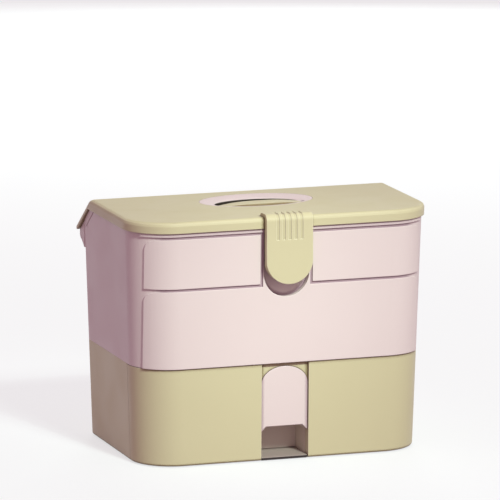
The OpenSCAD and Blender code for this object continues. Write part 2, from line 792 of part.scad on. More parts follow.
module handle_cup() {
    color(pink) difference() {
        union() {
            translate([0, 0, lid_top - dish_flange + 0.05]) linear_extrude(dish_flange - 0.05)
                polygon(ellipse_pts(dish_a, dish_b, dish_y));
            translate([0, 0, ring_low]) linear_extrude(lid_top - ring_low - 0.5)
                polygon(ellipse_pts(ring_a, ring_b, dish_y));
            translate([0, 0, well_floor - 2]) linear_extrude(ring_low - well_floor + 3)
                polygon(ellipse_pts(well_a + 2, well_b + 2, dish_y));
        }
        hull() {
            translate([0, 0, well_rim]) linear_extrude(eps)
                polygon(ellipse_pts(well_a, well_b, dish_y));
            translate([0, 0, lid_top + 0.01]) linear_extrude(eps)
                polygon(ellipse_pts(dish_a - 1.5, dish_b - 1.5, dish_y));
        }
        translate([0, 0, well_floor]) linear_extrude(far)
            polygon(ellipse_pts(well_a, well_b, dish_y));
        // seat of the grip
        translate([0, 0, foot_seat]) linear_extrude(9) grip_plan(0.2);
        grip_screw_places() drill(screw_pass_r);
        ring_screw_places() translate([0, 0, ring_low - 1])
            cylinder(h = ring_bite + 1.2, r = small_screw_r, $fn = 32);
    }
}
retainer_t = 2.4;
small_screw_r = 1.2;
small_head_r = 2.2;
small_head_t = 1.5;
ring_bite = 3.2;                      // how far a ring screw goes into the dish
grip_bite = 1.6;                      // how far a grip screw goes into the grip
screw_pass_r = 1.35;
module handle_retainer() {
    color(green) difference() {
        translate([0, 0, ring_low - retainer_t]) linear_extrude(plate_low - ring_low + retainer_t)
            polygon(ellipse_pts(ring_a + 7, ring_b + 7, dish_y));
        translate([0, 0, ring_low]) linear_extrude(far)
            polygon(ellipse_pts(ring_a + 0.4, ring_b + 0.4, dish_y));
        linear_extrude(far) polygon(ellipse_pts(well_a + 2.3, well_b + 2.3, dish_y));
        ring_screw_places() drill(screw_pass_r);
        grip_screw_places() drill(3);
    }
}
module handle_screws() {
    color(steel) {
        ring_screw_places() {
            translate([0, 0, ring_low - retainer_t])
                cylinder(h = retainer_t + ring_bite, r = small_screw_r, $fn = 32);
            translate([0, 0, ring_low - retainer_t - small_head_t])
                cylinder(h = small_head_t, r = small_head_r, $fn = 32);
        }
        grip_screw_places() {
            translate([0, 0, ring_low])
                cylinder(h = foot_seat - ring_low + grip_bite, r = small_screw_r, $fn = 32);
            translate([0, 0, ring_low - small_head_t])
                cylinder(h = small_head_t, r = small_head_r, $fn = 32);
        }
    }
}

// ---- clip ----
leg_bottom = lid_top - clip_drop;
bend_r = 6;
leg_back = -clip_reach + clip_t;
cheek_back = leg_back + 4.9;         // rear edge of the clip's side walls
cheek_step = leg_back + 2.8;         // from here on they fit inside the body's recess
cheek_gap = 0.3;                     // side gap between a side wall and the recess
cheek_in_t = 1.9;                    // thickness of a side wall inside the recess
// the side walls keep their thickness inside the recess when only the clip gets wider
cheek_t = max(2.6, clip_w / 2 - (clip_recess_r - cheek_gap - cheek_in_t));
slot_rise = 20;                      // height of a side wall's slot above the clip's end
slot_len = 6;
rim_front = front_y(lid_top) - lid_over - lid_fwd;
cheek_top = rim_bottom - 1.8;
groove_low = lid_top - 19;
groove_depth = 0.5;

module clip_leg_shape(shrink) {
    r = clip_w / 2 - shrink;
    translate([0, leg_bottom + clip_w / 2]) circle(r, $fn = 96);
    translate([-r, leg_bottom + clip_w / 2])
        square([2 * r, tongue_top - bend_r - leg_bottom - clip_w / 2]);
}
module bend_shape(r) {
    intersection() {
        translate([-clip_reach + bend_r, tongue_top - bend_r]) circle(r, $fn = 64);
        translate([-clip_reach - 1, tongue_top - bend_r - eps]) square([bend_r + 1, bend_r + 2]);
    }
}
module clip_side_profile(shrink) {
    // the clip seen from its side, from the grip grooves' lower end to its tongue
    bend_shape(bend_r - shrink);
    translate([-clip_reach + shrink, groove_low])
        square([clip_t - shrink, tongue_top - bend_r - groove_low]);
    translate([-clip_reach + bend_r - eps, tongue_low])
        square([clip_reach - bend_r + clip_pin_y - 1, tongue_t - shrink]);
}
module clip() {
    color(green) difference() {
        union() {
            along_y(-clip_reach, leg_back) clip_leg_shape(0);
            difference() {
                along_y(leg_back - eps, cheek_back) clip_leg_shape(0);
                along_y(leg_back - 1, cheek_back + 1) clip_leg_shape(cheek_t);
                box(-far, far, rim_front - 0.4, far, cheek_top, far);
                both_sides() box(clip_recess_r - cheek_gap, far, cheek_step, far, 0, far);
            }
            difference() {
                along_x(-clip_w / 2, clip_w / 2) bend_shape(bend_r);
                along_x(-clip_w / 2 + cheek_t, clip_w / 2 - cheek_t) bend_shape(bend_r - clip_t);
            }
            along_x(-clip_w / 2, clip_w / 2) {
                translate([-clip_reach + bend_r - eps, tongue_low])
                    square([clip_pin_back - bend_r, tongue_t]);
                translate([clip_pin_y, clip_pin_z]) {
                    circle(barrel_r - tongue_t + 0.5, $fn = 64);
                    intersection() {
                        circle(barrel_r, $fn = 96);
                        translate([-barrel_r, -0.8]) square([2 * barrel_r, 2 * barrel_r]);
                    }
                }
            }
            // nose under the catch
            box(-catch_w / 2, catch_w / 2, leg_back - 0.5, catch_y - 0.7, catch_z - 9, catch_z - 3);
        }
        rod_x(-clip_w / 2 - 1, clip_w / 2 + 1, clip_pin_y, clip_pin_z, clip_pin_r + run_gap);
        // grip grooves over the bend
        for (i = [0:clip_grooves - 1]) {
            x = (i - (clip_grooves - 1) / 2) * clip_groove_step;
            along_x(x - 1.3, x + 1.3) difference() {
                clip_side_profile(-1);
                clip_side_profile(groove_depth);
            }
        }
        // slot in each side wall
        both_sides() box(clip_w / 2 - cheek_t - 1, clip_w / 2 + 1, leg_back + 1.3, leg_back + 3.7,
                         leg_bottom + slot_rise, leg_bottom + slot_rise + slot_len);
    }
}
module clip_pin() {
    color(steel) rod_x(0.3 - boss_x, boss_x - 0.3, clip_pin_y, clip_pin_z, clip_pin_r);
}

body_shell();
base_housing();
base_screws();
feet();
runner_left();
runner_right();
hinge_pin_left();
hinge_pin_right();
case_divider();
lid_shell();
handle_cup();
handle_grip();
handle_retainer();
handle_screws();
clip();
clip_pin();
tray();
tray_divider_left();
tray_divider_right();
drawer_front();
drawer_box();
drawer_screws();
drawer_pull();
drawer_divider_left();
drawer_divider_right();
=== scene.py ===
import json
import math

import bpy
from mathutils import Matrix, Vector


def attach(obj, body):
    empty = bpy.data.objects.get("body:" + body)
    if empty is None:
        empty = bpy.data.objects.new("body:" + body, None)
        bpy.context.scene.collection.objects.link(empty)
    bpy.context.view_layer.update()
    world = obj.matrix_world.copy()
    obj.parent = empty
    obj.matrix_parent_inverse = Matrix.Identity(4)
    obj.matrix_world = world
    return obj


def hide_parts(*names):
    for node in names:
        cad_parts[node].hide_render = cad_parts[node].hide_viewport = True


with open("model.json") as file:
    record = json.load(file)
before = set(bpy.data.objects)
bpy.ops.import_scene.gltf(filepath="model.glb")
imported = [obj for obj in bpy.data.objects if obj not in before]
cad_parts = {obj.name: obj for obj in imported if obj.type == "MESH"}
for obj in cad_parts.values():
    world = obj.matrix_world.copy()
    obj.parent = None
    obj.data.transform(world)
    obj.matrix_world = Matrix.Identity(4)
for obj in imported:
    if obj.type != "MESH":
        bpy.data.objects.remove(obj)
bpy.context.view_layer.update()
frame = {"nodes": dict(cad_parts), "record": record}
print("frame loaded:", len(frame["nodes"]), "nodes")

scene = bpy.context.scene
scene.view_settings.view_transform = "Standard"
mm = 0.001

# the camera stands where the photo was taken from
cameraSet = {
    "place": (-1.53897, -4.68176, 1.07202),
    "azimuth": 18.134,      # degrees, seen from the left front
    "elevation": 10.372,
    "roll": -0.174,
    "lens": 416.8,
}
cameraData = bpy.data.cameras.new("photoCamera")
cameraData.lens = cameraSet["lens"]
cameraData.sensor_width = 36.0
cameraData.clip_start = 0.05
cameraData.clip_end = 40.0
camera = bpy.data.objects.new("photoCamera", cameraData)
scene.collection.objects.link(camera)
camera.matrix_world = (
    Matrix.Translation(cameraSet["place"])
    @ Matrix.Rotation(-math.radians(cameraSet["azimuth"]), 4, "Z")
    @ Matrix.Rotation(math.radians(90 - cameraSet["elevation"]), 4, "X")
    @ Matrix.Rotation(math.radians(cameraSet["roll"]), 4, "Z")
)
scene.camera = camera

# one soft key in front with a brighter patch, a little fill behind, pale surroundings
studioSet = {
    "skyColor": (1.0, 0.64, 0.78),
    "skyLight": 0.44,
    "surroundings": 0.58,
    "keyPlace": (0.42, -2.82, 2.38),
    "keyAim": (-0.01, -0.05, 0.10),
    "keyPower": 79.0,
    "keySize": 0.7,
    "keyColor": (0.886, 1.0, 0.915),
    "spotPower": 268.0,
    "spotSize": 0.12,
    "spotReach": 0.20,      # radius of the brighter patch on the front
    "fillPlace": (0.9, 2.4, 0.80),
    "fillAim": (0, 0.05, 0.12),
    "fillPower": 26.0,
    "fillSize": 1.2,
    "fillColor": (0.90, 1.0, 0.93),
    "floorSize": 30.0,
    "floorColor": (0.32, 0.35, 0.35),
    "floorLift": 0.66,      # glow that brings the floor up to the photo's white
    "floorBounce": (0.38, 0.28, 0.33),
}


def addNode(tree, kind, x, y, **values):
    node = tree.nodes.new(kind)
    node.location = (x, y)
    for key, value in values.items():
        if key in node.inputs:
            node.inputs[key].default_value = value
        else:
            setattr(node, key, value)
    return node


def addRamp(tree, x, y, source, span, reach=(0.0, 1.0)):
    # maps the source from the span onto the reach
    ramp = addNode(tree, "ShaderNodeMapRange", x, y)
    ramp.inputs["From Min"].default_value, ramp.inputs["From Max"].default_value = span
    ramp.inputs["To Min"].default_value, ramp.inputs["To Max"].default_value = reach
    tree.links.new(source, ramp.inputs["Value"])
    return ramp.outputs["Result"]


def addMath(tree, x, y, operation, first, second=None):
    result = addNode(tree, "ShaderNodeMath", x, y, operation=operation)
    tree.links.new(first, result.inputs[0])
    if second is not None:
        tree.links.new(second, result.inputs[1])
    return result.outputs[0]


def addBlend(tree, x, y, amount, first, second):
    # goes from the first colour to the second; each is a socket or a plain colour
    blend = addNode(tree, "ShaderNodeMix", x, y, data_type="RGBA")
    tree.links.new(amount, blend.inputs["Factor"])
    for place, value in ((6, first), (7, second)):
        if isinstance(value, tuple):
            blend.inputs[place].default_value = (*value, 1)
        else:
            tree.links.new(value, blend.inputs[place])
    return blend.outputs[2]


def addBump(tree, x, y, height, strength, depth):
    bump = addNode(tree, "ShaderNodeBump", x, y, Strength=strength, Distance=depth)
    tree.links.new(height, bump.inputs["Height"])
    return bump


def addNoise(tree, x, y, source, **values):
    noise = addNode(tree, "ShaderNodeTexNoise", x, y, **values)
    tree.links.new(source, noise.inputs["Vector"])
    return noise.outputs["Fac"]


def seenByEye(tree, x, y):
    # 1 for what the camera, a reflection or a see-through part looks at
    path = addNode(tree, "ShaderNodeLightPath", x, y)
    gloss = addMath(tree, x + 200, y, "MAXIMUM",
                    path.outputs["Is Camera Ray"], path.outputs["Is Glossy Ray"])
    return addMath(tree, x + 400, y, "MAXIMUM", gloss, path.outputs["Is Transmission Ray"])


def aimAt(lamp, target):
    direction = Vector(target) - lamp.location
    lamp.rotation_euler = direction.to_track_quat("-Z", "Y").to_euler()


def addLight(name, kind, place, target, power, color):
    lampData = bpy.data.lights.new(name, kind)
    lampData.energy = power
    lampData.color = color
    lamp = bpy.data.objects.new(name, lampData)
    scene.collection.objects.link(lamp)
    lamp.location = place
    aimAt(lamp, target)
    return lamp


def addAreaLight(name, place, target, power, size, color):
    lamp = addLight(name, "AREA", place, target, power, color)
    lamp.data.shape = "DISK"
    lamp.data.size = size
    return lamp


addAreaLight("keyLight", studioSet["keyPlace"], studioSet["keyAim"],
             studioSet["keyPower"], studioSet["keySize"], studioSet["keyColor"])
# a soft patch of light on the middle of the front, as a close lamp gives
spotLamp = addLight("frontPatch", "SPOT", studioSet["keyPlace"], studioSet["keyAim"],
                    studioSet["spotPower"], studioSet["keyColor"])
spotDistance = (Vector(studioSet["keyAim"]) - spotLamp.location).length
spotLamp.data.spot_size = 2 * math.atan(studioSet["spotReach"] / spotDistance)
spotLamp.data.spot_blend = 1.0
spotLamp.data.shadow_soft_size = studioSet["spotSize"]
backFill = addAreaLight("backFill", studioSet["fillPlace"], studioSet["fillAim"],
                        studioSet["fillPower"], studioSet["fillSize"], studioSet["fillColor"])
# no shine of the fill along the lid, seen from the front
backFill.visible_glossy = False

world = bpy.data.worlds.new("studioWorld")
scene.world = world
world.use_nodes = True
worldNodes = world.node_tree
worldNodes.nodes.clear()
worldOut = addNode(worldNodes, "ShaderNodeOutputWorld", 500, 0)
skyShade = addNode(worldNodes, "ShaderNodeBackground", 0, 0,
                   Color=(*studioSet["skyColor"], 1), Strength=studioSet["skyLight"])
paleShade = addNode(worldNodes, "ShaderNodeBackground", 0, -150, Color=(1, 1, 1, 1),
                    Strength=studioSet["surroundings"])
worldMix = addNode(worldNodes, "ShaderNodeMixShader", 250, 0)
worldNodes.links.new(seenByEye(worldNodes, -600, 250), worldMix.inputs["Fac"])
worldNodes.links.new(skyShade.outputs[0], worldMix.inputs[1])
worldNodes.links.new(paleShade.outputs[0], worldMix.inputs[2])
worldNodes.links.new(worldMix.outputs[0], worldOut.inputs["Surface"])

pinkSet = {
    "color": (0.800, 0.710, 0.685),
    "deep": (0.770, 0.670, 0.650),   # where the moulding is a little denser
    # painted shade colour for grooves and corners
    "creviceShade": (0.44, 0.32, 0.36),
    # painted highlight colour along the edges
    "edge": (0.93, 0.85, 0.82),
    "roughness": 0.36,
}
greenSet = {
    "color": (0.655, 0.625, 0.395),
    "deep": (0.622, 0.582, 0.359),
    # painted shade colour for grooves and corners
    "creviceShade": (0.28, 0.22, 0.12),
    # painted highlight colour along the edges
    "edge": (0.94, 0.92, 0.68),
    "roughness": 0.34,
}
# what both mouldings share; lengths are in millimetres
mouldingSet = {
    "ior": 1.49,
    "specular": 0.16,
    "driftScale": 7.0,
    "driftSpan": (0.35, 0.70),
    "driftAmount": 0.55,
    # the next three set the width and strength of the painted edge highlight
    "edgeRound": 1.0,
    "edgeSpan": (0.995, 0.90),
    "edgeHighlight": 0.7,
    # the next two set the reach and strength of the painted crevice shade
    "hollowReach": 3.5,
    "hollowSpan": (0.97, 0.76),
    "smearScale": 26.0,
    "smearSpan": (0.3, 0.7),
    "smearRoughness": (-0.05, 0.07),
    "scratchScale": (40.0, 40.0, 900.0),
    "scratchTurn": (0.3, 0.5, 0.2),
    "scratchSpan": (0.68, 0.74),
    "scratchRoughness": 0.10,
    "grainScale": 1500.0,
    "grainStrength": 0.35,
    "grainDepth": 0.018,
}


def startMaterial(name):
    material = bpy.data.materials.new(name)
    material.use_nodes = True
    tree = material.node_tree
    place = addNode(tree, "ShaderNodeTexCoord", -1500, 0).outputs["Object"]
    return material, tree, tree.nodes["Principled BSDF"], place


def makeMouldedPlastic(name, look, shadeTone=1.0, fade=None):
    material, tree, shader, place = startMaterial(name)
    link = tree.links.new
    shader.inputs["IOR"].default_value = mouldingSet["ior"]
    shader.inputs["Specular IOR Level"].default_value = mouldingSet["specular"]

    # slow colour drift of the pigment in the moulding
    drift = addNoise(tree, -1250, 300, place, Scale=mouldingSet["driftScale"],
                     Detail=3.0, Roughness=0.5)
    driftAmount = addRamp(tree, -1050, 300, drift, mouldingSet["driftSpan"],
                          (0.0, mouldingSet["driftAmount"]))
    pigment = addBlend(tree, -850, 300, driftAmount, look["color"], look["deep"])

    # painted highlight: edges lightened towards a pale colour, found from the rounded normal
    rounded = addNode(tree, "ShaderNodeBevel", -1250, -250,
                      Radius=mouldingSet["edgeRound"] * mm, samples=6)
    geometry = addNode(tree, "ShaderNodeNewGeometry", -1250, -420)
    facing = addNode(tree, "ShaderNodeVectorMath", -1050, -300, operation="DOT_PRODUCT")
    link(rounded.outputs["Normal"], facing.inputs[0])
    link(geometry.outputs["Normal"], facing.inputs[1])
    highlightAmount = addRamp(tree, -850, -300, facing.outputs["Value"], mouldingSet["edgeSpan"],
                         (0.0, mouldingSet["edgeHighlight"]))
    highlighted = addBlend(tree, -650, 200, highlightAmount, pigment, look["edge"])

    # painted shade: a darker colour inside grooves and corners, where shade falls, found by
    # ambient occlusion
    hollow = addNode(tree, "ShaderNodeAmbientOcclusion", -850, -520, samples=6,
                     Distance=mouldingSet["hollowReach"] * mm)
    hollowAmount = addRamp(tree, -650, -520, hollow.outputs["AO"], mouldingSet["hollowSpan"],
                           (0.0, shadeTone))
    if fade:
        # the painted crevice shade fades out towards both sides of the piece
        split = addNode(tree, "ShaderNodeSeparateXYZ", -1250, 600)
        link(place, split.inputs["Vector"])
        fromMiddle = addMath(tree, -1050, 600, "ABSOLUTE", split.outputs["X"])
        inside = addRamp(tree, -850, 600, fromMiddle, [value * mm for value in fade])
        hollowAmount = addMath(tree, -600, 0, "MULTIPLY", hollowAmount, inside)
    shadedColour = addBlend(tree, -430, 150, hollowAmount, highlighted, look["creviceShade"])
    link(shadedColour, shader.inputs["Base Color"])

    # handling marks: faint smears and short scratches in the gloss
    smear = addNoise(tree, -1250, -700, place, Scale=mouldingSet["smearScale"],
                     Detail=4.0, Distortion=0.6)
    smearRoughness = addRamp(tree, -1050, -700, smear, mouldingSet["smearSpan"],
                             [look["roughness"] + more for more in mouldingSet["smearRoughness"]])
    stretch = addNode(tree, "ShaderNodeMapping", -1450, -950,
                      Scale=mouldingSet["scratchScale"], Rotation=mouldingSet["scratchTurn"])
    link(place, stretch.inputs["Vector"])
    scratch = addNoise(tree, -1250, -950, stretch.outputs["Vector"], Scale=1.0, Detail=2.0)
    scratchRoughness = addRamp(tree, -1050, -950, scratch, mouldingSet["scratchSpan"],
                               (0.0, mouldingSet["scratchRoughness"]))
    roughness = addMath(tree, -850, -800, "ADD", smearRoughness, scratchRoughness)
    link(roughness, shader.inputs["Roughness"])

    # fine spark-eroded grain of the mould
    grain = addNoise(tree, -1050, -1200, place, Scale=mouldingSet["grainScale"],
                     Detail=2.0, Roughness=0.6)
    grainBump = addBump(tree, -450, -1000, grain, mouldingSet["grainStrength"],
                        mouldingSet["grainDepth"] * mm)
    link(rounded.outputs["Normal"], grainBump.inputs["Normal"])
    link(grainBump.outputs["Normal"], shader.inputs["Normal"])
    return material


def toneInside(material, tone, ramps, oval=None):
    # another tone where all ramps over the piece's own coordinates are on
    tree = material.node_tree
    link = tree.links.new
    shader = tree.nodes["Principled BSDF"]
    before = shader.inputs["Base Color"].links[0].from_socket
    place = addNode(tree, "ShaderNodeTexCoord", -1250, 900).outputs["Object"]
    split = addNode(tree, "ShaderNodeSeparateXYZ", -1050, 900)
    link(place, split.inputs["Vector"])
    masks = [addRamp(tree, -850, 700 + 220 * row, split.outputs[axis], (off * mm, on * mm))
             for row, (axis, off, on) in enumerate(ramps)]
    if oval:
        halfX, halfY, middleY = (value * mm for value in oval)
        flat = addNode(tree, "ShaderNodeMapping", -1050, 1300,
                       Location=(0, -middleY / halfY, 0), Scale=(1 / halfX, 1 / halfY, 0))
        link(place, flat.inputs["Vector"])
        reach = addNode(tree, "ShaderNodeVectorMath", -850, 1300, operation="LENGTH")
        link(flat.outputs["Vector"], reach.inputs[0])
        masks.append(addRamp(tree, -650, 1300, reach.outputs["Value"], (1.03, 1.01)))
    mask = masks[0]
    for row, other in enumerate(masks[1:]):
        mask = addMath(tree, -400 + 160 * row, 700, "MULTIPLY", mask, other)
    link(addBlend(tree, 300, 600, mask, before, tone), shader.inputs["Base Color"])


# steel and rubber: a slow tone and a fine grain, each with its scale and detail
steelSet = {
    "metallic": 1.0,
    "tones": ((0.60, 0.61, 0.63), (0.46, 0.46, 0.47)),
    "tone": (120.0, 3.0),
    "grain": (2600.0, 2.0),
    "roughness": (0.22, 0.42),
    "grainStrength": 0.3,
    "grainDepth": 0.01,
}
rubberSet = {
    "metallic": 0.0,
    "tones": ((0.045, 0.045, 0.048), (0.085, 0.083, 0.082)),
    "tone": (420.0, 4.0),
    "grain": (420.0, 4.0),
    "roughness": (0.65, 0.9),
    "grainStrength": 0.5,
    "grainDepth": 0.04,
}


def makePlainFinish(name, look):
    material, tree, shader, place = startMaterial(name)
    shader.inputs["Metallic"].default_value = look["metallic"]
    tone, grain = (addNoise(tree, -850, y, place, Scale=look[key][0], Detail=look[key][1])
                   for key, y in (("tone", 200), ("grain", -200)))
    tree.links.new(addBlend(tree, -500, 200, tone, *look["tones"]), shader.inputs["Base Color"])
    tree.links.new(addRamp(tree, -500, -100, grain, (0.0, 1.0), look["roughness"]),
                   shader.inputs["Roughness"])
    bump = addBump(tree, -400, -350, grain, look["grainStrength"], look["grainDepth"] * mm)
    tree.links.new(bump.outputs["Normal"], shader.inputs["Normal"])
    return material


pinkPlastic = makeMouldedPlastic("pinkPlastic", pinkSet)
greenPlastic = makeMouldedPlastic("greenPlastic", greenSet)
turnedSteel = makePlainFinish("turnedSteel", steelSet)
footRubber = makePlainFinish("footRubber", rubberSet)

# painted shade: the handle's dish is coloured near-black inside its finger well, where shade
# falls, not on the underside of the floor
wellShadeSet = {
    # the painted shade colour inside the well
    "tone": (0.050, 0.040, 0.032),
    "rim": 211.2,
    "rimBlend": 0.5,
    "underside": 184.0,
    "floorBlend": 0.6,
    "half": (37.0, 21.0),
    "middle": 0.8,
}
dishPlastic = makeMouldedPlastic("dishPlastic", pinkSet)
# painted shade inside the finger well
toneInside(dishPlastic, wellShadeSet["tone"],
           [("Z", wellShadeSet["rim"], wellShadeSet["rim"] - wellShadeSet["rimBlend"]),
            ("Z", wellShadeSet["underside"], wellShadeSet["underside"] + wellShadeSet["floorBlend"])],
           (*wellShadeSet["half"], wellShadeSet["middle"]))

# painted shade: the finger notch is tinted pinkish-brown inside as in shade, its floor darkened,
# and a near-black painted shadow line runs along the floor's front edge
notchShadeSet = {
    # painted shade tint of the notch walls, painted shade on its floor, and the painted shadow
    # line along the floor's front edge
    "tone": (0.72, 0.64, 0.58),
    "floorShade": (0.45, 0.39, 0.35),
    "lipShadow": (0.05, 0.04, 0.04),
    "half": 21.3,
    "top": 30.6,
    "front": -76.2,
    "back": -38.0,
    "edgeBlend": 0.3,
    "frontBlend": 1.5,
    "backBlend": 1.0,
    "lipY": (-74.5, -75.2),
    "lipZ": (3.1, 2.6),
}
notchSides = [("X", side * notchShadeSet["half"], side * (notchShadeSet["half"] - notchShadeSet["edgeBlend"]))
              for side in (-1, 1)]
frontPlastic = makeMouldedPlastic("frontPlastic", greenSet)
# painted shade tint on the notch walls
toneInside(frontPlastic, notchShadeSet["tone"],
           [*notchSides, ("Z", notchShadeSet["top"], notchShadeSet["top"] - notchShadeSet["edgeBlend"]),
            ("Y", notchShadeSet["front"], notchShadeSet["front"] + notchShadeSet["frontBlend"])])
basePlastic = makeMouldedPlastic("basePlastic", greenSet)
# painted shade on the notch floor
toneInside(basePlastic, notchShadeSet["floorShade"],
           [*notchSides, ("Y", notchShadeSet["back"], notchShadeSet["back"] - notchShadeSet["backBlend"])])
# painted shadow line along the floor's front edge
toneInside(basePlastic, notchShadeSet["lipShadow"],
           [*notchSides, ("Y", *notchShadeSet["lipY"]), ("Z", *notchShadeSet["lipZ"])])
# the clip has less painted crevice shade, and the body's painted crevice shade fades between
# these distances from its middle
clipPlastic = makeMouldedPlastic("clipPlastic", greenSet, shadeTone=0.3)
bodyPlastic = makeMouldedPlastic("bodyPlastic", pinkSet, fade=(121, 110))
print("materials made")

bpy.ops.object.select_all(action="DESELECT")
bpy.ops.mesh.primitive_plane_add(size=studioSet["floorSize"], location=(0, 0, 0))
floor = bpy.context.object
floor.name = "studioFloor"
floorMaterial = bpy.data.materials.new("paleFloor")
floorMaterial.use_nodes = True
floorTree = floorMaterial.node_tree
floorTree.nodes.clear()
floorOut = addNode(floorTree, "ShaderNodeOutputMaterial", 600, 0)
floorSeen = addNode(floorTree, "ShaderNodeBsdfDiffuse", -200, 100,
                    Color=(*studioSet["floorColor"], 1))
floorLift = addNode(floorTree, "ShaderNodeEmission", -200, -50, Strength=studioSet["floorLift"])
floorSum = addNode(floorTree, "ShaderNodeAddShader", 0, 50)
floorOther = addNode(floorTree, "ShaderNodeBsdfDiffuse", -200, -200,
                     Color=(*studioSet["floorBounce"], 1))
floorMix = addNode(floorTree, "ShaderNodeMixShader", 300, 0)
floorTree.links.new(floorSeen.outputs[0], floorSum.inputs[0])
floorTree.links.new(floorLift.outputs[0], floorSum.inputs[1])
floorTree.links.new(seenByEye(floorTree, -700, 300), floorMix.inputs["Fac"])
floorTree.links.new(floorOther.outputs[0], floorMix.inputs[1])
floorTree.links.new(floorSum.outputs[0], floorMix.inputs[2])
floorTree.links.new(floorMix.outputs[0], floorOut.inputs["Surface"])
floor.data.materials.append(floorMaterial)
print("studio made")

slotMaterial = {
    "pink_plastic": pinkPlastic,
    "green_plastic": greenPlastic,
    "steel": turnedSteel,
    "rubber": footRubber,
}
pieceMaterial = {
    "body_shell": bodyPlastic,
    "clip": clipPlastic,
    "handle_cup": dishPlastic,
    "drawer_front": frontPlastic,
    "base_housing": basePlastic,
}
nodeSlot = {part["node"]: part["material_slot"] for part in frame["record"]["subparts"]}
nodeBody = {}
for bodyName, nodeNames in frame["record"]["behaviour"]["bodies"].items():
    for nodeName in nodeNames:
        nodeBody[nodeName] = bodyName

# how a plain solid is refined: the weld in millimetres, the angles in degrees
refineSet = {
    "weld": 0.01,
    "flatAngle": 0.8,
    "bevelAngle": 28,
    "faceWeight": 80,
}
smoothAngle = math.radians(38)

# bevel width in millimetres and number of bevel steps for each solid
edgeSet = {
    "body_shell": (0.55, 3),
    "base_housing": (0.4, 2),
    "runner_left": (0.4, 2),
    "runner_right": (0.4, 2),
    "hinge_pin_left": (0.3, 2),
    "hinge_pin_right": (0.3, 2),
    "case_divider": (0.4, 2),
    "lid_shell": (0.6, 3),
    "handle_cup": (0.5, 3),
    "handle_grip": (1.6, 4),
    "handle_retainer": (0.4, 2),
    "clip": (0.6, 3),
    "clip_pin": (0.2, 2),
    "tray": (0.5, 2),
    "tray_divider_left": (0.4, 2),
    "tray_divider_right": (0.4, 2),
    "drawer_front": (0.5, 3),
    "drawer_box": (0.5, 2),
    "drawer_pull": (0.9, 4),
    "drawer_divider_left": (0.4, 2),
    "drawer_divider_right": (0.4, 2),
}


def selectOnly(piece):
    bpy.ops.object.select_all(action="DESELECT")
    piece.select_set(True)
    bpy.context.view_layer.objects.active = piece


def handOver(piece, nodeName):
    piece.data.materials.clear()
    piece.data.materials.append(pieceMaterial.get(nodeName, slotMaterial[nodeSlot[nodeName]]))
    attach(piece, nodeBody[nodeName])
    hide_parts(nodeName)


def bevelEdges(piece, width, steps, angle):
    bevel = piece.modifiers.new("softEdges", "BEVEL")
    bevel.width = width * mm
    bevel.segments = steps
    bevel.limit_method = "ANGLE"
    bevel.angle_limit = math.radians(angle)
    bpy.ops.object.modifier_apply(modifier=bevel.name)
    bpy.ops.object.shade_smooth_by_angle(angle=smoothAngle)


def refineSolid(nodeName, width, steps):
    source = frame["nodes"][nodeName]
    piece = bpy.data.objects.new(nodeName + "_moulding", source.data.copy())
    scene.collection.objects.link(piece)
    selectOnly(piece)
    bpy.ops.object.mode_set(mode="EDIT")
    bpy.ops.mesh.select_all(action="SELECT")
    bpy.ops.mesh.remove_doubles(threshold=refineSet["weld"] * mm)
    bpy.ops.mesh.dissolve_limited(angle_limit=math.radians(refineSet["flatAngle"]),
                                  use_dissolve_boundaries=False)
    bpy.ops.object.mode_set(mode="OBJECT")
    bevelEdges(piece, width, steps, refineSet["bevelAngle"])
    # the wide flat faces keep their own normals
    flatten = piece.modifiers.new("flatFaces", "WEIGHTED_NORMAL")
    flatten.mode = "FACE_AREA"
    flatten.weight = refineSet["faceWeight"]
    flatten.keep_sharp = True
    bpy.ops.object.modifier_apply(modifier=flatten.name)
    handOver(piece, nodeName)


for nodeName, (width, steps) in edgeSet.items():
    refineSolid(nodeName, width, steps)
print("solids refined:", len(edgeSet))


def pickFaces(piece, test):
    # selects faces by their normal and middle, and leaves edit mode open
    bpy.ops.object.mode_set(mode="OBJECT")
    for face in piece.data.polygons:
        face.select = test(face.normal, face.center)
    bpy.ops.object.mode_set(mode="EDIT")


def looseParts(mesh):
    # the corner points of each separate solid of a mesh
    owner = list(range(len(mesh.vertices)))

    def root(index):
        while owner[index] != index:
            owner[index] = owner[owner[index]]
            index = owner[index]
        return index

    seen = {}
    for vertex in mesh.vertices:
        place = tuple(round(value, 6) for value in vertex.co)
        owner[vertex.index] = root(seen.setdefault(place, vertex.index))
    for edge in mesh.edges:
        owner[root(edge.vertices[0])] = root(edge.vertices[1])
    groups = {}
    for vertex in mesh.vertices:
        groups.setdefault(root(vertex.index), []).append(vertex.co.copy())
    return list(groups.values())


def partBoxes(nodeName):
    # the lowest and highest corner of each separate solid of a node
    boxes = []
    for points in looseParts(frame["nodes"][nodeName].data):
        low = Vector([min(point[axis] for point in points) for axis in range(3)])
        high = Vector([max(point[axis] for point in points) for axis in range(3)])
        boxes.append((low, high))
    return boxes


def joinPieces(pieces):
    bpy.ops.object.select_all(action="DESELECT")
    for piece in pieces:
        piece.select_set(True)
    bpy.context.view_layer.objects.active = pieces[0]
    if len(pieces) > 1:
        bpy.ops.object.join()
    return bpy.context.view_layer.objects.active


def joinCopies(model, places, name):
    # one copy of the model with its own mesh at each place, joined to one piece
    copies = []
    for place in places:
        twin = bpy.data.objects.new(name, model.data.copy())
        twin.data.transform(place)
        scene.collection.objects.link(twin)
        copies.append(twin)
    bpy.data.objects.remove(model)
    return joinPieces(copies)


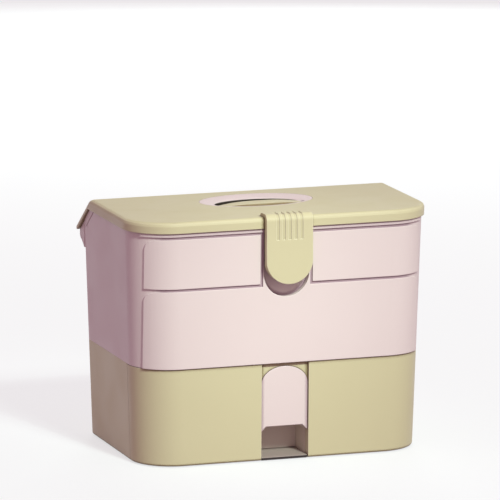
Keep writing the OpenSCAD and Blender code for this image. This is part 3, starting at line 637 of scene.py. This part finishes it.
def addCylinder(sides, radius, height, middle):
    # an upright cylinder with its mesh at its place, and face mode for the steps after it
    bpy.context.tool_settings.mesh_select_mode = (False, False, True)
    bpy.ops.object.select_all(action="DESELECT")
    bpy.ops.mesh.primitive_cylinder_add(vertices=sides, radius=radius, depth=height,
                                        location=(0, 0, middle))
    bpy.ops.object.transform_apply(location=True)
    return bpy.context.object


def growBy(rise):
    bpy.ops.mesh.extrude_region_move(TRANSFORM_OT_translate={"value": (0, 0, rise)})


# shares of a screw's head, and of its shank at the point
screwForm = {
    "sides": 28,
    "rim": 0.12,
    "step": 0.10,
    "drop": 0.12,
    "point": 0.45,
    "slotLength": 1.15,
    "slotWidth": 0.26,
    "slotDepth": 1.1,
}


# self-tapping screw with a cross recess, head up and the top of the head at the origin
def modelScrew(look, length):
    head, shank = look["head"] * mm, look["shank"] * mm
    headHeight, pitch = look["headHeight"] * mm, look["pitch"] * mm
    drop = headHeight * screwForm["drop"]
    screw = addCylinder(screwForm["sides"], head, headHeight, -headHeight / 2)
    pickFaces(screw, lambda normal, middle: normal.z > 0.9)
    bpy.ops.mesh.inset(thickness=head * screwForm["rim"])
    bpy.ops.transform.translate(value=(0, 0, -drop))
    bpy.ops.mesh.inset(thickness=head * screwForm["step"])
    bpy.ops.transform.translate(value=(0, 0, drop))
    pickFaces(screw, lambda normal, middle: normal.z < -0.9)
    bpy.ops.mesh.inset(thickness=head - shank)
    # the thread: root and crest in turn, then the blunt point
    turns = int(length / look["pitch"])
    for turn in range(turns):
        for factor in (look["root"], 1 / look["root"]):
            growBy(-pitch / 2)
            bpy.ops.transform.resize(value=(factor, factor, 1))
    growBy(-(length - turns * look["pitch"]) * mm)
    bpy.ops.transform.resize(value=(screwForm["point"], screwForm["point"], 1))
    bpy.ops.object.mode_set(mode="OBJECT")
    for turn in (0, 90):
        bpy.ops.mesh.primitive_cube_add(size=1, location=(0, 0, 0))
        cutter = bpy.context.object
        cutter.scale = (head * screwForm["slotLength"], head * screwForm["slotWidth"],
                        headHeight * screwForm["slotDepth"])
        cutter.rotation_euler = (0, 0, math.radians(turn))
        selectOnly(screw)
        cut = screw.modifiers.new("crossRecess", "BOOLEAN")
        cut.object = cutter
        bpy.ops.object.modifier_apply(modifier=cut.name)
        bpy.data.objects.remove(cutter)
    bpy.ops.object.shade_smooth_by_angle(angle=smoothAngle)
    return screw


# sizes in millimetres; root is the radius between two threads as a share of the shank's
screwSets = {
    "base_screws": {"head": 2.8, "headHeight": 1.8, "shank": 1.5, "root": 0.84, "pitch": 1.0,
                    "turned": Matrix.Identity(4)},
    "handle_screws": {"head": 2.2, "headHeight": 1.5, "shank": 1.2, "root": 0.86, "pitch": 0.8,
                      "turned": Matrix.Rotation(math.pi, 4, "X")},
    "drawer_screws": {"head": 2.8, "headHeight": 1.6, "shank": 1.5, "root": 0.84, "pitch": 0.8,
                      "turned": Matrix.Rotation(-math.pi / 2, 4, "X")},
}


def placeScrews(nodeName, look):
    # screws of the same length share one model, as long as the solids that they replace
    byLength = {}
    up = look["turned"].to_3x3() @ Vector((0, 0, 1))
    axis = max(range(3), key=lambda index: abs(up[index]))
    for low, high in partBoxes(nodeName):
        length = round((high - low)[axis] / mm - look["headHeight"], 2)
        top = (low + high) / 2
        top[axis] = (high if up[axis] > 0 else low)[axis]
        byLength.setdefault(length, []).append(Matrix.Translation(top) @ look["turned"])
    pieces = [joinCopies(modelScrew(look, length), places, nodeName + "_turned")
              for length, places in byLength.items()]
    handOver(joinPieces(pieces), nodeName)


for nodeName, look in screwSets.items():
    placeScrews(nodeName, look)
print("screws made")

# rubber feet: a button with a ring groove and a hollow middle
feetSet = {
    "sides": 56,
    "radius": 7.95,
    "height": 2.0,
    "ring": 1.4,
    "grooveWidth": 0.7,     # as a share of the ring
    "groove": 0.5,
    "hollow": 0.6,
    "taper": 0.85,
    "round": 0.35,
    "bevelAngle": 30,
}


def modelFoot(look):
    height, ring, groove = look["height"] * mm, look["ring"] * mm, look["groove"] * mm
    foot = addCylinder(look["sides"], look["radius"] * mm, height, height / 2)
    pickFaces(foot, lambda normal, middle: normal.z < -0.9)
    for inset, rise in ((ring, groove), (ring * look["grooveWidth"], -groove),
                        (ring, look["hollow"] * mm)):
        bpy.ops.mesh.inset(thickness=inset)
        growBy(rise)
    bpy.ops.transform.resize(value=(look["taper"], look["taper"], 1))
    bpy.ops.object.mode_set(mode="OBJECT")
    bevelEdges(foot, look["round"], 2, look["bevelAngle"])
    return foot


footPlaces = [Matrix.Translation(((low + high) / 2).xy.to_3d())
              for low, high in partBoxes("feet")]
handOver(joinCopies(modelFoot(feetSet), footPlaces, "feet_moulded"), "feet")
print("feet made")
